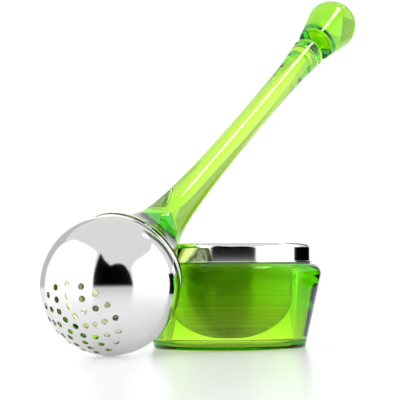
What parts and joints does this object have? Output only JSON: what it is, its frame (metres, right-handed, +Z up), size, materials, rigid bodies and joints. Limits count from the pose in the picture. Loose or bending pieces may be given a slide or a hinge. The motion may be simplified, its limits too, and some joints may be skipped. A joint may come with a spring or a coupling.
{
  "type": "tea infuser",
  "caption": "Perforated steel ball tea infuser with a flared clear green handle, leaning on a round clear green drip stand with a steel bowl.",
  "frame": {"origin": "centre of the stand's flat underside", "axes": "+Z up, out of the stand's bowl; +Y away from the viewer, so the ball lies on the -X -Y side and the handle leans towards +X +Y"},
  "size_m": [0.1134, 0.1591, 0.1316],
  "materials": {
    "green_acrylic": "gloss, transparent yellow-green",
    "pale_acrylic": "gloss, transparent pale green",
    "clear_silicone": "satin, translucent",
    "polished_steel": "mirror polished",
    "turned_steel": "fine turned lines"
  },
  "bodies": {
    "stand": {"stand_shell": "green_acrylic", "base_plate": "green_acrylic", "seat_gasket": "clear_silicone", "drip_bowl": "turned_steel", "collar_ring": "polished_steel"},
    "handle": {"handle_body": "green_acrylic", "neck_dowel": "pale_acrylic", "knob": "green_acrylic", "knob_collar": "green_acrylic"},
    "coupling": {"coupling_ring": "green_acrylic"},
    "strainer": {"strainer_bowl": "polished_steel", "strainer_rim": "polished_steel"}
  },
  "joints": [
    {"name": "infuser_lift", "type": "slide", "parent": "stand", "child": "handle", "axis": [0, 0, 1], "range_m": [0, 0.06]},
    {"name": "ring_turn", "type": "hinge", "parent": "handle", "child": "coupling", "pos_m": [-0.039, -0.04825, 0.0225], "axis": [-0.4498, -0.7033, -0.5505], "range_deg": [0, 60]},
    {"name": "strainer_off", "type": "slide", "parent": "coupling", "child": "strainer", "axis": [-0.4498, -0.7033, -0.5505], "range_m": [0, 0.03]}
  ]
}
